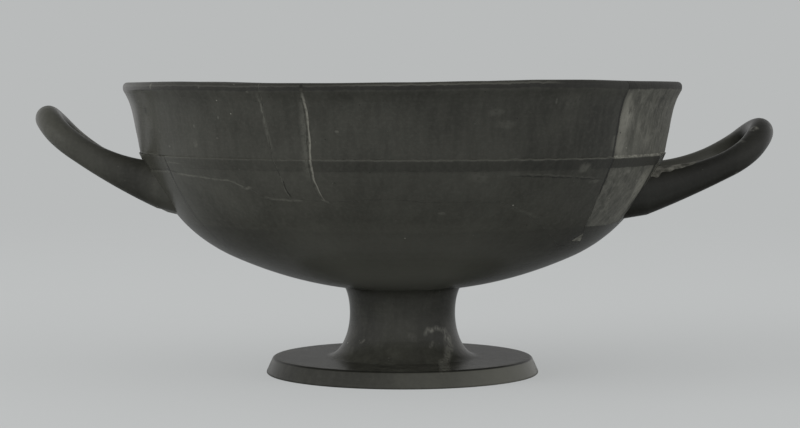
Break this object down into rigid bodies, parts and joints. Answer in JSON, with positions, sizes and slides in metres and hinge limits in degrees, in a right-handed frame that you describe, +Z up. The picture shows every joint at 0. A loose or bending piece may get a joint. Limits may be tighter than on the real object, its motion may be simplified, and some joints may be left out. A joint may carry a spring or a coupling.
{
  "type": "stemmed loop-handled cup",
  "caption": "Wide, shallow pottery drinking cup with an offset lip, a stem on a disc foot and an upturned loop handle at either side, mended from sherds and plaster fills.",
  "frame": {"origin": "middle of the standing surface under the foot, on the axis of the bowl", "axes": "+Z up along the axis of the bowl, X from the left handle to the right handle, -Y towards the side that the picture shows"},
  "size_m": [0.2383, 0.18, 0.0949],
  "materials": {
    "bowl_clay": "burnished reduction-fired clay, worn and dusty",
    "stem_clay": "burnished reduction-fired clay with turning lines",
    "handle_clay": "burnished reduction-fired clay, hand rolled",
    "toned_plaster": "matte gypsum plaster toned grey",
    "pale_plaster": "matte bare gypsum plaster"
  },
  "bodies": {
    "root": {"stem_foot": "stem_clay", "bowl_base": "bowl_clay", "sherd_handle_left": "bowl_clay", "sherd_lip_left": "bowl_clay", "sherd_lip_narrow": "bowl_clay", "sherd_front": "bowl_clay", "sherd_handle_right": "bowl_clay", "fill_lip_right": "toned_plaster", "fill_wall_right": "toned_plaster", "handle_left": "handle_clay", "handle_right": "handle_clay", "fill_crack": "pale_plaster", "fill_chip": "pale_plaster", "fill_handle_right": "pale_plaster"}
  },
  "joints": []
}
